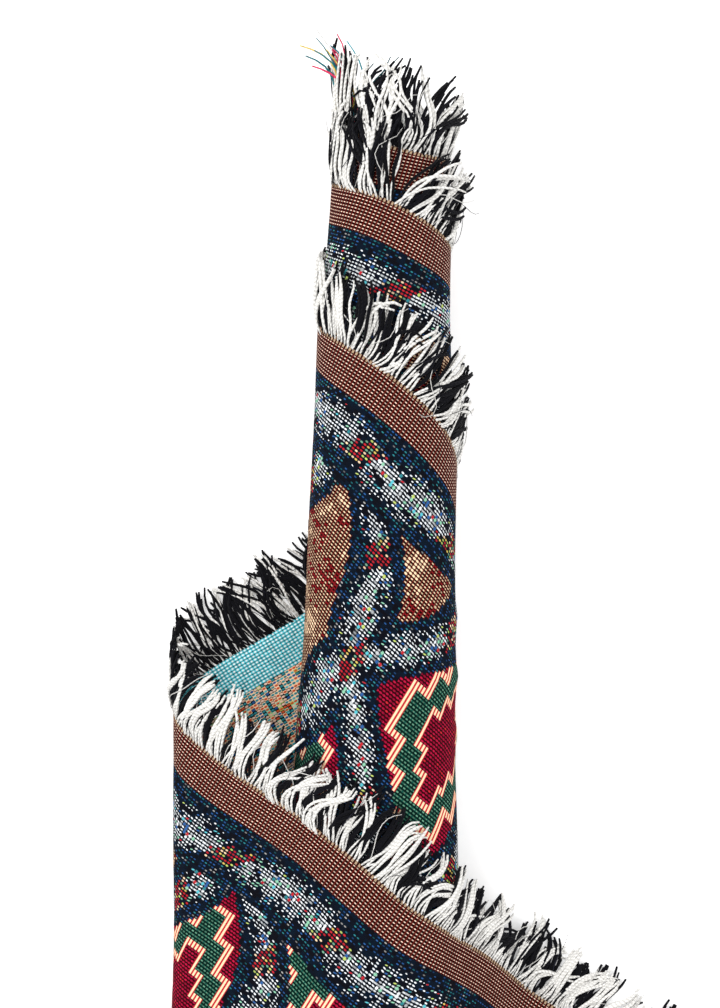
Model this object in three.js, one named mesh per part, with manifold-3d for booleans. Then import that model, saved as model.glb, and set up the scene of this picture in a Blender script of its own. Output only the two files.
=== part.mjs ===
// Fringed throw blanket, rolled askew and lying on its side, with its outer end wrapped once
// round the roll and let down to the floor. Millimetres, +Z up, the roll along Y.
import * as THREE from "three";
import { mergeVertices } from "three/addons/utils/BufferGeometryUtils.js";
import Module from "manifold-3d";

// The cloth as cut: across is from the fringed top edge down, along is from the inner end out
const ACROSS = 1270;
const ALONG = 1524;
const THICK = 1.8;
const INNER_END = -549;
const OUTER_END = INNER_END + ALONG;

// Two cross-sections carry the whole shape, one above the roll's top and one at its base
const TOP_END = {
  y: 262, rightX: 61.6, radius: 38.8, flat: 4, pitch: 2.0,
  foldX: -122.8, foldRadius: 9, wrapGap: 2.6, easeRadius: 35,
};
const BASE_END = {
  y: -1538, rightX: 65.5, radius: 47, flat: 88, pitch: 4.4,
  foldX: -124.6, foldRadius: 49.4, wrapGap: 5, easeRadius: 45,
};
const HALF_TURNS = 12;
const SHOWN_HALF_TURNS = 6;
const FALL_TURN = THREE.MathUtils.degToRad(50);
const LIE = 330;

// How the cloth sits on the roll: its threads run askew to the roll's own length
const SKEW = THREE.MathUtils.degToRad(29);
const OUTER_TURN_EDGE_Y = 82;
// How far the roll has drawn the fringed edge in, at places along it
const DRAWN_IN = [
  { along: -1300, by: 30 },
  { along: -900, by: 40 },
  { along: -700, by: 48 },
  { along: -549, by: 60 },
  { along: -503, by: 66 },
  { along: -420, by: 42 },
  { along: -345, by: 25 },
  { along: -277, by: 12 },
  { along: -241, by: 17 },
  { along: -120, by: 4 },
  { along: -66, by: -2 },
  { along: -20, by: -7 },
  { along: 28, by: -2.5 },
  { along: 60, by: 5 },
  { along: 130, by: 17 },
  { along: 200, by: 25 },
  { along: 258, by: 28 },
  { along: 320, by: 25 },
  { along: 400, by: 31.5 },
  { along: 440, by: 31 },
  { along: 470, by: 26 },
  { along: 526, by: 25 },
  { along: 553, by: 31 },
  { along: 580, by: 34 },
  { along: 606, by: 34 },
  { along: 646, by: 27 },
  { along: 680, by: 25 },
  { along: 737, by: 28 },
  { along: 900, by: 22 },
  { along: 1200, by: 16 },
];
const DRAWN_IN_BLUR = [-24, -16, -8, 0, 8, 16, 24];
const CROSSING_PASSES = 12;

// Soft creases across the roll and the wrap: where each lies, how it runs and how high it stands
const CREASES = [
  { x: 52, y: -78, turn: 0.35, long: 34, wide: 7, high: 1.6 },
  { x: 58, y: -112, turn: 0.2, long: 30, wide: 8, high: 1.8 },
  { x: 60, y: -150, turn: 0.3, long: 28, wide: 7, high: 1.5 },
  { x: -20, y: -235, turn: -0.5, long: 60, wide: 14, high: 1.4 },
  { x: 60, y: -330, turn: -0.6, long: 80, wide: 16, high: 1.6 },
  { x: -70, y: -420, turn: -0.7, long: 90, wide: 18, high: 1.5 },
];
const RIPPLE_FADE = { from: 4, to: 24 };

// Steps of the sections: fine ones to unroll the cloth, every few of them kept as a mesh column
const ARC_STEP = THREE.MathUtils.degToRad(3);
const ARC_KEEP = 3;
const FLAT_STEPS = 12;
const FLAT_KEEP = 4;
const STRIP_ROWS = 3;
const ROLL_ROWS = 14;
const WRAP_ROWS = 16;
const CAP_DEPTH = { top: 22, base: 60 };
const CORNER_MARGIN = 6;
// The wrap's first column is hidden inside the roll, a little in from the edge and off the floor
const WRAP_TAIL = { from: 0.004, face: 0.4, back: THICK - 0.1 };

// Fringe: cut yarn ends gathered in locks on a narrow strip beside the cloth. A lock's half width
// is a share of the pitch, and its reach and sway differ from lock to lock.
const FRINGE_GAP = 0.4;
const FRINGE_ROOT = 2.3;
const FRINGE_LONG = 47;
const FRINGE_THICK = 1.4;
const FRINGE_LIFT = { by: 0.6, from: 1.8, to: 4.5 };
const FRINGE_STEPS = [0, 0.36, 0.7, 1];
const LOCK = { share: 0.36, leastShare: 0.85, taper: 0.3, sway: 0.25, leastReach: 0.9, mostReach: 1.04 };
const LOCK_PITCH = { top: 14, bottom: 18, end: 20, tuft: 4.4 };
const BOTTOM_FRINGE_START = 34;
const TUFT = { down: 24, long: 62, toward: new THREE.Vector3(-0.3, 0.94, 0.1).normalize() };

// The origin is the centre of the lying blanket's footprint, on the floor
const ORIGIN = { x: 122.9, y: -631.3 };

const wasm = await Module();
wasm.setup();

// Repeatable random numbers from 0 to 1.
function randomFrom(seed) {
  let state = seed;
  return () => {
    state = (state * 1664525 + 1013904223) % 4294967296;
    return state / 4294967296;
  };
}

// The rise of the wrap from its fold to the top of the roll, as the tangent to both rounds.
const riseHeading = (() => {
  const e = TOP_END;
  const foldCentre = e.foldX + e.foldRadius;
  const rollCentre = e.rightX - e.radius - e.flat;
  const dx = rollCentre - foldCentre;
  const dz = e.radius - e.foldRadius;
  const grow = e.radius + e.wrapGap - e.foldRadius;
  return Math.atan2(dz, dx) + Math.asin(grow / Math.hypot(dx, dz));
})();

// The rows of one cross-section from the innermost half turn out: how far each turns
// (clockwise, seen along +Y from the base), on what radius, and the straight that follows.
function sectionRows(e) {
  const rows = [];
  for (let k = HALF_TURNS - 1; k >= 0; k--) {
    const radius = e.radius - (k * e.pitch) / 2;
    rows.push({ name: "turn" + k, turn: Math.PI, radius, straight: e.flat, steps: FLAT_STEPS });
  }
  const rollCentre = e.rightX - e.radius - e.flat;
  const foldCentre = e.foldX + e.foldRadius;
  const outer = e.radius + e.wrapGap;
  const grow = outer - e.foldRadius;
  const dx = rollCentre - foldCentre - grow * Math.sin(riseHeading);
  const dz = e.radius - e.foldRadius + grow * Math.cos(riseHeading);
  const rise = dx * Math.cos(riseHeading) + dz * Math.sin(riseHeading);
  const drop = e.radius + outer - THICK - (outer + e.easeRadius) * (1 - Math.cos(FALL_TURN));
  const row = (name, turn, radius, straight, steps) => rows.push({ name, turn, radius, straight, steps });
  row("back", 0, 0, rollCentre - foldCentre, 20);
  row("fold", Math.PI - riseHeading, e.foldRadius, rise, 20);
  row("over", riseHeading, outer, e.flat, FLAT_STEPS);
  row("fall", FALL_TURN, outer, drop / Math.sin(FALL_TURN), 12);
  row("lie", -FALL_TURN, e.easeRadius, LIE, 40);
  return rows;
}

// Follows the rows as a path of points, each with the heading there and whether a mesh keeps it.
function sectionPath(e) {
  let x = 0;
  let z = 0;
  let heading = Math.PI;
  const points = [{ x, z, heading, keep: true, row: "start" }];
  for (const row of sectionRows(e)) {
    const arcs = Math.round(Math.abs(row.turn) / ARC_STEP / ARC_KEEP) * ARC_KEEP;
    for (let i = 1; i <= arcs; i++) {
      const bend = row.turn / arcs;
      const chord = 2 * row.radius * Math.sin(Math.abs(bend) / 2);
      x += chord * Math.cos(heading - bend / 2);
      z += chord * Math.sin(heading - bend / 2);
      heading -= bend;
      points.push({ x, z, heading, keep: i % ARC_KEEP === 0, row: row.name });
    }
    for (let i = 1; i <= row.steps; i++) {
      x += (row.straight / row.steps) * Math.cos(heading);
      z += (row.straight / row.steps) * Math.sin(heading);
      points.push({ x, z, heading, keep: i % FLAT_KEEP === 0, row: row.name + "_flat" });
    }
  }
  // Seat the roll: its outermost turn reaches rightX, and the straight under it lies at z = 0.
  const reach = Math.max(...points.filter((p) => p.row === "turn0").map((p) => p.x));
  const under = points.findLast((p) => p.row === "turn0_flat");
  const shift = { x: e.rightX - reach, z: -under.z };
  return points.map((p) => ({ ...p, x: p.x + shift.x, z: p.z + shift.z }));
}

const topPath = sectionPath(TOP_END);
const basePath = sectionPath(BASE_END);
const COUNT = topPath.length;
const topPoints = topPath.map((p) => new THREE.Vector3(p.x, TOP_END.y, p.z));
const basePoints = basePath.map((p) => new THREE.Vector3(p.x, BASE_END.y, p.z));

// The point that lies given distances from P and Q, on the left of the way from P to Q.
function across(P, Q, fromP, fromQ) {
  const d = P.distanceTo(Q);
  const a = (fromP * fromP - fromQ * fromQ + d * d) / (2 * d);
  const h = Math.sqrt(Math.max(fromP * fromP - a * a, 0));
  const ux = (Q.x - P.x) / d;
  const uy = (Q.y - P.y) / d;
  return new THREE.Vector2(P.x + a * ux - h * uy, P.y + a * uy + h * ux);
}

// Unrolls the ruled surface between the two sections onto a plane.
const flatTop = [new THREE.Vector2(0, 0)];
const flatBase = [new THREE.Vector2(0, -topPoints[0].distanceTo(basePoints[0]))];
for (let i = 1; i < COUNT; i++) {
  const [T, B, T0, B0] = [topPoints[i], basePoints[i], topPoints[i - 1], basePoints[i - 1]];
  flatBase.push(across(flatTop[i - 1], flatBase[i - 1], B.distanceTo(T0), B.distanceTo(B0)));
  flatTop.push(across(flatTop[i - 1], flatBase[i], T.distanceTo(T0), T.distanceTo(B)));
}

// The cloth's own axes on that plane: `edge` runs along the fringed edge, `into` down the cloth.
const anchor = topPath.findIndex((p) => p.row === "turn1_flat");
const lines = flatTop.map((t, i) => flatBase[i].clone().sub(t));
const anchorShare = (TOP_END.y - OUTER_TURN_EDGE_Y) / (TOP_END.y - BASE_END.y);
const flatOrigin = flatTop[anchor].clone().addScaledVector(lines[anchor], anchorShare);
const edgeAngle = lines[anchor].angle() + Math.PI / 2 - SKEW;
const edge = new THREE.Vector2(Math.cos(edgeAngle), Math.sin(edgeAngle));
const into = new THREE.Vector2(edge.y, -edge.x);

function drawnInAt(along) {
  const rows = DRAWN_IN;
  if (along <= rows[0].along) return rows[0].by;
  const next = rows.findIndex((r) => r.along > along);
  if (next < 0) return rows[rows.length - 1].by;
  const [a, b] = [rows[next - 1], rows[next]];
  return a.by + ((b.by - a.by) * (along - a.along)) / (b.along - a.along);
}

function drawnIn(along) {
  let sum = 0;
  for (const d of DRAWN_IN_BLUR) sum += drawnInAt(along + d);
  return sum / DRAWN_IN_BLUR.length;
}

// Share of the way down ruling i where the cloth is `depth` in from its fringed edge, and
// the place along the edge.
function crossing(i, depth) {
  const line = lines[i];
  const from = flatTop[i].clone().sub(flatOrigin);
  let along = 0;
  let share = 0;
  for (let pass = 0; pass < CROSSING_PASSES; pass++) {
    const down = depth + drawnIn(along);
    share = (down - from.dot(into)) / line.dot(into);
    along = from.dot(edge) + share * line.dot(edge);
  }
  return { along, share };
}

// Share of the way down ruling i where it meets the line at a given place along the cloth.
function endCrossing(i, along) {
  const from = flatTop[i].clone().sub(flatOrigin);
  return (along - from.dot(edge)) / lines[i].dot(edge);
}

// Low waves and creases of the lying cloth, as a height along its outward side.
function ripple(p) {
  const fade = THREE.MathUtils.smoothstep(p.z, RIPPLE_FADE.from, RIPPLE_FADE.to);
  let high = 0.7 * Math.sin(p.y / 41 + p.x / 60) + 0.5 * Math.sin(p.y / 23 - p.x / 35 + 1.3);
  for (const c of CREASES) {
    const dx = p.x - c.x;
    const dy = p.y - c.y;
    const along = dx * Math.cos(c.turn) + dy * Math.sin(c.turn);
    const off = -dx * Math.sin(c.turn) + dy * Math.cos(c.turn);
    high += c.high * Math.exp(-((along / c.long) ** 2) - (off / c.wide) ** 2);
  }
  return high * fade;
}

// A point on ruling i (which may be between two), `share` down it and `depth` under its face.
function onRuling(i, share, depth = 0) {
  const a = Math.min(Math.floor(i), COUNT - 2);
  const f = i - a;
  const top = topPoints[a].clone().lerp(topPoints[a + 1], f);
  const base = basePoints[a].clone().lerp(basePoints[a + 1], f);
  const run = base.sub(top);
  const heading = topPath[a].heading + (topPath[a + 1].heading - topPath[a].heading) * f;
  const along = new THREE.Vector3(Math.cos(heading), 0, Math.sin(heading));
  const outward = run.clone().cross(along).normalize();
  const point = top.addScaledVector(run, share);
  return point.addScaledVector(outward, ripple(point) - depth);
}

// Where a place on the flat cloth lies in the rolled blanket.
function placed(along, down, depth = 0) {
  const q = flatOrigin.clone().addScaledVector(edge, along).addScaledVector(into, down + drawnIn(along));
  const side = (i) => lines[i].cross(q.clone().sub(flatTop[i])) / lines[i].length();
  let low = 0;
  let high = COUNT - 1;
  while (high - low > 1) {
    const mid = (low + high) >> 1;
    if (side(mid) > 0) low = mid;
    else high = mid;
  }
  const [a, b] = [side(low), side(high)];
  const f = a / (a - b);
  const top = flatTop[low].clone().lerp(flatTop[high], f);
  const run = flatBase[low].clone().lerp(flatBase[high], f).sub(top);
  const share = q.sub(top).dot(run) / run.lengthSq();
  return onRuling(low + f, share, depth);
}

// Closed body from triangles given as corner points, wound either way as one.
function solidFrom(corners) {
  const positions = new Float32Array(corners.flatMap((p) => [p.x, p.y, p.z]));
  const loose = new THREE.BufferGeometry();
  loose.setAttribute("position", new THREE.BufferAttribute(positions, 3));
  const merged = mergeVertices(loose, 1e-3);
  const index = merged.index.array;
  const triVerts = [];
  for (let i = 0; i < index.length; i += 3) {
    const [a, b, c] = [index[i], index[i + 1], index[i + 2]];
    if (a !== b && b !== c && c !== a) triVerts.push(a, b, c);
  }
  const mesh = (order) =>
    new wasm.Mesh({
      numProp: 3,
      vertProperties: merged.attributes.position.array,
      triVerts: new Uint32Array(order),
    });
  const solid = new wasm.Manifold(mesh(triVerts));
  if (solid.volume() > 0) return solid;
  for (let i = 0; i < triVerts.length; i += 3)
    [triVerts[i], triVerts[i + 1]] = [triVerts[i + 1], triVerts[i]];
  return new wasm.Manifold(mesh(triVerts));
}

function geometryOf(solid) {
  const mesh = solid.getMesh();
  const geometry = new THREE.BufferGeometry();
  const positions = new Float32Array(mesh.numVert * 3);
  for (let i = 0; i < mesh.numVert; i++)
    positions.set(mesh.vertProperties.subarray(i * mesh.numProp, i * mesh.numProp + 3), i * 3);
  geometry.setAttribute("position", new THREE.BufferAttribute(positions, 3));
  geometry.setIndex(new THREE.BufferAttribute(mesh.triVerts, 1));
  const flat = geometry.toNonIndexed();
  flat.computeVertexNormals();
  return flat;
}

// Two triangles for the cell between rows of points a-b and c-d.
function cell(out, a, b, c, d) {
  out.push(a, b, c, b, d, c);
}

// Triangles between two polylines that run the same way, matched by the y of their points.
function zip(out, left, right) {
  let i = 0;
  let j = 0;
  while (i < left.length - 1 || j < right.length - 1) {
    const stepLeft =
      j === right.length - 1 || (i < left.length - 1 && left[i + 1].y >= right[j + 1].y);
    if (stepLeft) {
      out.push(left[i], right[j], left[i + 1]);
      i++;
    } else {
      out.push(left[i], right[j], right[j + 1]);
      j++;
    }
  }
}

const kept = [...topPath.keys()].filter((i) => topPath[i].keep);
const firstShown = kept.findIndex((i) => topPath[i].row === "turn" + (SHOWN_HALF_TURNS - 1));
const underEnd = kept.findLastIndex((i) => topPath[i].row === "turn0_flat");
const HALF_TURN_COLUMNS = Math.PI / ARC_STEP / ARC_KEEP + FLAT_STEPS / FLAT_KEEP;
const TURN = 2 * HALF_TURN_COLUMNS;
const QUARTER_TURN = Math.PI / 2 / ARC_STEP / ARC_KEEP;

// Where the cloth starts on a kept ruling: at its fringed edge, or at its inner end.
function startShare(k) {
  const i = kept[k];
  return Math.max(crossing(i, 0).share, endCrossing(i, INNER_END));
}

// The roll as it shows from outside: the inner turns' bands, a step up to each next layer, and
// the outer turn down to the base, closed by a shallow funnel at both ends.
function rollSolid() {
  const out = [];
  const starts = [];
  for (let k = firstShown; k <= underEnd + TURN; k++) starts[k] = startShare(k);
  const rows = (k, from, to, n) =>
    Array.from({ length: n + 1 }, (_, r) => onRuling(kept[k], from + ((to - from) * r) / n));
  const first = firstShown + QUARTER_TURN;
  const strip = [];
  for (let k = first; k <= underEnd; k++) strip[k] = rows(k, starts[k], starts[k + TURN], STRIP_ROWS);
  for (let k = first; k < underEnd; k++)
    for (let r = 0; r < STRIP_ROWS; r++)
      cell(out, strip[k][r], strip[k + 1][r], strip[k][r + 1], strip[k + 1][r + 1]);
  const outerFirst = underEnd - TURN;
  for (let k = first; k < outerFirst; k++)
    cell(out, strip[k][STRIP_ROWS], strip[k + 1][STRIP_ROWS], strip[k + TURN][0], strip[k + TURN + 1][0]);

  const cornerShare = (TOP_END.y - placed(OUTER_END, ACROSS).y) / (TOP_END.y - BASE_END.y);
  const long = [];
  for (let k = outerFirst; k <= underEnd; k++) {
    const end = Math.min(crossing(kept[k], ACROSS).share, cornerShare);
    long[k] = rows(k, starts[k + TURN], end, ROLL_ROWS);
  }
  for (let k = outerFirst; k < underEnd; k++)
    for (let r = 0; r < ROLL_ROWS; r++)
      cell(out, long[k][r], long[k + 1][r], long[k][r + 1], long[k + 1][r + 1]);
  zip(out, [...strip[underEnd], ...long[underEnd].slice(1)], long[outerFirst]);

  const loopTop = [];
  for (let k = first; k <= first + TURN; k++) loopTop.push(strip[k][0]);
  loopTop.push(...strip[first].slice().reverse());
  const loopBase = [];
  for (let k = outerFirst; k <= underEnd; k++) loopBase.push(long[k][ROLL_ROWS]);
  loopBase.push(long[outerFirst][ROLL_ROWS]);
  const middle = (loop, y) => {
    const xs = loop.map((p) => p.x);
    const zs = loop.map((p) => p.z);
    const half = (list) => (Math.max(...list) + Math.min(...list)) / 2;
    return new THREE.Vector3(half(xs), y, half(zs));
  };
  const lowest = Math.min(...loopTop.map((p) => p.y));
  const highest = Math.max(...loopBase.map((p) => p.y));
  const topMiddle = middle(loopTop, lowest - CAP_DEPTH.top);
  const baseMiddle = middle(loopBase, highest + CAP_DEPTH.base);
  for (let i = 0; i < loopTop.length - 1; i++) out.push(topMiddle, loopTop[i + 1], loopTop[i]);
  for (let i = 0; i < loopBase.length - 1; i++) out.push(baseMiddle, loopBase[i], loopBase[i + 1]);
  return solidFrom(out);
}

// The loose wrap as a sheet: from under the roll along the floor, back over the roll in its
// fold, and down to the floor, where it ends in a corner.
function wrapSolid() {
  const columns = [{ i: kept[underEnd - 1], ...WRAP_TAIL }];
  columns[0].from += crossing(kept[underEnd - 1], 0).share;
  columns[0].to = endCrossing(kept[underEnd - 1], OUTER_END);
  for (let k = underEnd + 1; k < kept.length; k++) {
    const start = crossing(kept[k], 0);
    if (start.along > OUTER_END - CORNER_MARGIN) break;
    const to = endCrossing(kept[k], OUTER_END);
    columns.push({ i: kept[k], from: start.share, to, face: 0, back: THICK });
  }
  const sheet = (side) =>
    columns.map((c) =>
      Array.from({ length: WRAP_ROWS + 1 }, (_, r) =>
        onRuling(c.i, c.from + ((c.to - c.from) * r) / WRAP_ROWS, c[side]),
      ),
    );
  const face = sheet("face");
  const back = sheet("back");
  const corner = placed(OUTER_END, 0);
  const cornerBack = placed(OUTER_END, 0, THICK);
  face.push(Array(WRAP_ROWS + 1).fill(corner));
  back.push(Array(WRAP_ROWS + 1).fill(cornerBack));
  const out = [];
  const last = face.length - 1;
  for (let c = 0; c < last; c++) {
    for (let r = 0; r < WRAP_ROWS; r++) {
      cell(out, face[c][r], face[c + 1][r], face[c][r + 1], face[c + 1][r + 1]);
      cell(out, back[c][r], back[c][r + 1], back[c + 1][r], back[c + 1][r + 1]);
    }
    cell(out, face[c][0], back[c][0], face[c + 1][0], back[c + 1][0]);
    cell(out, face[c][WRAP_ROWS], face[c + 1][WRAP_ROWS], back[c][WRAP_ROWS], back[c + 1][WRAP_ROWS]);
  }
  for (let r = 0; r < WRAP_ROWS; r++)
    cell(out, face[0][r], face[0][r + 1], back[0][r], back[0][r + 1]);
  return solidFrom(out);
}

// A place on the fringe: a little proud of the cloth's face wherever it is clear of the floor.
function fringePlaced(along, down, depth) {
  const p = placed(along, down, depth);
  const lift = FRINGE_LIFT.by * THREE.MathUtils.smoothstep(p.z, FRINGE_LIFT.from, FRINGE_LIFT.to);
  return placed(along, down, depth - lift);
}

// A comb of locks: `at(place, out, depth)` gives the point beside the cloth's edge, `depth` is
// how far under the face the yarn's top side lies.
function combSolid({ from, to, pitch, depth, at, long = FRINGE_LONG, seed }) {
  const random = randomFrom(seed);
  const count = Math.max(2, Math.round((to - from) / pitch));
  const wide = (to - from) / count;
  const low = depth + FRINGE_THICK;
  const columns = [];
  const out = [];
  for (let n = 0; n < count; n++) {
    const middle = from + (n + 0.5) * wide;
    const half = LOCK.share * wide * THREE.MathUtils.lerp(LOCK.leastShare, 1, random());
    columns.push(middle - half, middle + half);
    const sway = wide * THREE.MathUtils.lerp(-LOCK.sway, LOCK.sway, random());
    const reach = long * THREE.MathUtils.lerp(LOCK.leastReach, LOCK.mostReach, random());
    const sections = FRINGE_STEPS.map((share, step) => {
      const q = step === 0 ? FRINGE_ROOT : FRINGE_ROOT + share * (reach - FRINGE_ROOT);
      const m = middle + sway * share * share;
      const h = half * (1 - LOCK.taper * share * share);
      return [at(m - h, q, depth), at(m + h, q, depth), at(m + h, q, low), at(m - h, q, low)];
    });
    for (let s = 0; s < sections.length - 1; s++) {
      const [near, far] = [sections[s], sections[s + 1]];
      for (let c = 0; c < 4; c++) cell(out, near[c], near[(c + 1) % 4], far[c], far[(c + 1) % 4]);
    }
    const tip = sections[sections.length - 1];
    out.push(tip[0], tip[1], tip[2], tip[0], tip[2], tip[3]);
  }
  const ring = (p) => [
    at(p, FRINGE_GAP, depth), at(p, FRINGE_ROOT, depth), at(p, FRINGE_ROOT, low), at(p, FRINGE_GAP, low),
  ];
  const rings = columns.map(ring);
  for (let i = 0; i < rings.length - 1; i++) {
    const [a, b] = [rings[i], rings[i + 1]];
    cell(out, a[0], b[0], a[1], b[1]);
    if (i % 2 === 1) cell(out, a[1], b[1], a[2], b[2]);
    cell(out, a[2], b[2], a[3], b[3]);
    cell(out, a[3], b[3], a[0], b[0]);
  }
  for (const [r, flip] of [[rings[0], true], [rings[rings.length - 1], false]]) {
    if (flip) out.push(r[0], r[1], r[2], r[0], r[2], r[3]);
    else out.push(r[0], r[2], r[1], r[0], r[3], r[2]);
  }
  return solidFrom(out);
}

const blackWhite = new THREE.MeshStandardMaterial({ color: 0x8c8a86, roughness: 0.95, metalness: 0 });
const manyColours = new THREE.MeshStandardMaterial({ color: 0x9a6a5c, roughness: 0.95, metalness: 0 });
const woven = new THREE.MeshStandardMaterial({ color: 0x7a3b36, roughness: 0.9, metalness: 0 });

const blanket = new THREE.Group();
const shifted = new THREE.Group();
shifted.position.set(-ORIGIN.x, -ORIGIN.y, 0);
blanket.add(shifted);

function add(name, solid, material) {
  const mesh = new THREE.Mesh(geometryOf(solid), material);
  mesh.name = name;
  shifted.add(mesh);
}

add("woven_throw", rollSolid().add(wrapSolid()), woven);

// Fringe along the top edge, in runs: three turns of the roll, the floor behind it, the wrap
const alongAt = (k) => crossing(kept[k], 0).along;
const outerStart = underEnd - TURN;
const middleStart = outerStart - TURN;
const foldStart = kept.findIndex((i) => topPath[i].row === "fold");
const WRAP_SIDE = THICK - FRINGE_THICK;
const topFringe = (place, outward, depth) => fringePlaced(place, -outward, depth);
const TOP_RUNS = [
  { name: "fringe_top_inner_turn", from: INNER_END, to: alongAt(middleStart), depth: 0 },
  { name: "fringe_top_middle_turn", from: alongAt(middleStart), to: alongAt(outerStart), depth: 0 },
  { name: "fringe_top_outer_turn", from: alongAt(outerStart), to: alongAt(underEnd), depth: 0 },
  { name: "fringe_top_back", from: alongAt(underEnd), to: alongAt(foldStart), depth: 0 },
  { name: "fringe_top_front", from: alongAt(foldStart), to: OUTER_END, depth: WRAP_SIDE },
];
TOP_RUNS.forEach((run, n) => {
  const ends = { from: run.from + 1, to: run.to - 1 };
  const comb = { ...run, ...ends, pitch: LOCK_PITCH.top, at: topFringe, seed: 11 + n };
  add(run.name, combSolid(comb), blackWhite);
});

// Fringe along the bottom edge, where the outermost turn ends
const bottomRun = {
  from: crossing(kept[outerStart], ACROSS).along + BOTTOM_FRINGE_START,
  to: OUTER_END - 3,
  pitch: LOCK_PITCH.bottom,
  depth: 0,
  at: (place, outward, depth) => fringePlaced(place, ACROSS + outward, depth),
  seed: 31,
};
add("fringe_bottom", combSolid(bottomRun), blackWhite);

// Fringe of the outer end, over the roll and on the floor, and below the fold behind the roll
const downAt = (k) => {
  const share = endCrossing(kept[k], OUTER_END);
  const q = flatTop[kept[k]].clone().addScaledVector(lines[kept[k]], share).sub(flatOrigin);
  return q.dot(into) - drawnIn(OUTER_END);
};
const endFringe = (place, outward, depth) => fringePlaced(OUTER_END + outward, place, depth);
const endRun = {
  from: 2, to: downAt(foldStart) - 1, pitch: LOCK_PITCH.end, depth: WRAP_SIDE, at: endFringe, seed: 41,
};
const underRun = {
  from: downAt(foldStart) + 1, to: downAt(underEnd) - 1, pitch: LOCK_PITCH.end, depth: 0, at: endFringe, seed: 43,
};
add("fringe_outer_end", combSolid(endRun), manyColours);
add("fringe_outer_end_under", combSolid(underRun), manyColours);

// Coloured yarns at the inner end's top corner, standing up and to the left
const tuftFringe = (place, outward, depth) => {
  const root = placed(INNER_END - Math.min(outward, FRINGE_ROOT), place, depth);
  return root.addScaledVector(TUFT.toward, Math.max(0, outward - FRINGE_ROOT));
};
const tuftRun = {
  from: 2, to: TUFT.down, pitch: LOCK_PITCH.tuft, depth: 0, at: tuftFringe, long: TUFT.long, seed: 51,
};
add("fringe_inner_corner", combSolid(tuftRun), manyColours);

export default blanket;
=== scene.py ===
"""Fringed throw blanket, rolled askew: its woven cloth, its yarn fringes and a plain pale stage."""

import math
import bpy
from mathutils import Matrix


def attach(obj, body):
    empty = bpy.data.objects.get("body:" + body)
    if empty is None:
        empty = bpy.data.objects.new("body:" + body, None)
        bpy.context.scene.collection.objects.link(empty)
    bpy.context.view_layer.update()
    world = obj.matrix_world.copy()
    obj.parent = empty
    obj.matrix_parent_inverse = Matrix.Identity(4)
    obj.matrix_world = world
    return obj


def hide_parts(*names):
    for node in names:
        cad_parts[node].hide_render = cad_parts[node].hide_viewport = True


bl_info = {
    "name": "Rolled Throw Blanket",
    "version": (1, 0, 0),
    "blender": (4, 5, 0),
    "location": "View3D > Sidebar > Throw",
    "description": "Builds a fringed jacquard throw blanket, rolled askew and lying on a floor",
    "category": "Add Mesh",
}

from functools import partial

import bpy
import numpy as np
from bpy.props import FloatProperty, FloatVectorProperty, IntProperty, PointerProperty
from mathutils import Vector

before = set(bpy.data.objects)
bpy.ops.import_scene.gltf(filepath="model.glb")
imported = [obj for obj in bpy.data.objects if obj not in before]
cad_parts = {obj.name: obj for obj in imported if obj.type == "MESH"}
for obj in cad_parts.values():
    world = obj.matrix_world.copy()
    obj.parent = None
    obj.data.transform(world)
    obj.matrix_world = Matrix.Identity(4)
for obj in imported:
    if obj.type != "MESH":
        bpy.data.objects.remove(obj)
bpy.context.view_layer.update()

MM = 0.001

# The cloth as cut, in millimetres: across is from the fringed top edge down, along is from the
# inner end out
ACROSS = 1270
ALONG = 1524
THICK = 1.8
HALF_THICK = THICK / 2
INNER_END = -549
OUTER_END = INNER_END + ALONG

# Two cross-sections carry the whole lie, one above the roll's top and one at its base. In each:
# its place down the roll, the roll's right side, radius and straight part, how far its turns lie
# apart, the fold's left side and radius, the wrap's distance from the roll, and the radius with
# which it comes down to the floor
TOP_END = {
    "y": 262, "right": 61.6, "radius": 38.8, "flat": 4, "pitch": 2.0,
    "fold": -122.8, "fold_radius": 9, "wrap_gap": 2.6, "ease_radius": 35,
}
BASE_END = {
    "y": -1538, "right": 65.5, "radius": 47, "flat": 88, "pitch": 4.4,
    "fold": -124.6, "fold_radius": 49.4, "wrap_gap": 5, "ease_radius": 45,
}
HALF_TURNS = 12
FALL_TURN = math.radians(50)
LIE = 330
SKEW = math.radians(29)
OUTER_TURN_EDGE_Y = 82
ARC_STEP = math.radians(3)
ARC_GROUP = 3
FLAT_STEPS = {"turn": 12, "back": 20, "fold": 20, "over": 12, "fall": 12, "lie": 40}

# How far the roll has drawn the fringed edge in: (place along the edge, by)
DRAWN_IN = (
    (-1300, 30), (-900, 40), (-700, 48), (-549, 60), (-503, 66), (-420, 42), (-345, 25),
    (-277, 12), (-241, 17), (-120, 4), (-66, -2), (-20, -7), (28, -2.5), (60, 5), (130, 17),
    (200, 25), (258, 28), (320, 25), (400, 31.5), (440, 31), (470, 26), (526, 25), (553, 31),
    (580, 34), (606, 34), (646, 27), (680, 25), (737, 28), (900, 22), (1200, 16),
)
DRAWN_IN_BLUR = (-24, -16, -8, 0, 8, 16, 24)
CROSSING_ROUNDS = 12

# Low waves over the whole cloth: height, millimetres down and across to a radian, start
WAVES = ((0.7, 41, 60, 0), (0.5, 23, -35, 1.3))

# Soft creases across the roll and the wrap: x, y, turn, half length, half width, height
CREASES = (
    (52, -78, 0.35, 34, 7, 1.6),
    (58, -112, 0.2, 30, 8, 1.8),
    (60, -150, 0.3, 28, 7, 1.5),
    (-20, -235, -0.5, 60, 14, 1.4),
    (60, -330, -0.6, 80, 16, 1.6),
    (-70, -420, -0.7, 90, 18, 1.5),
)
# Heights above the floor over which the waves and creases grow to their full measure
RIPPLE_FADE = (4, 24)

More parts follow.
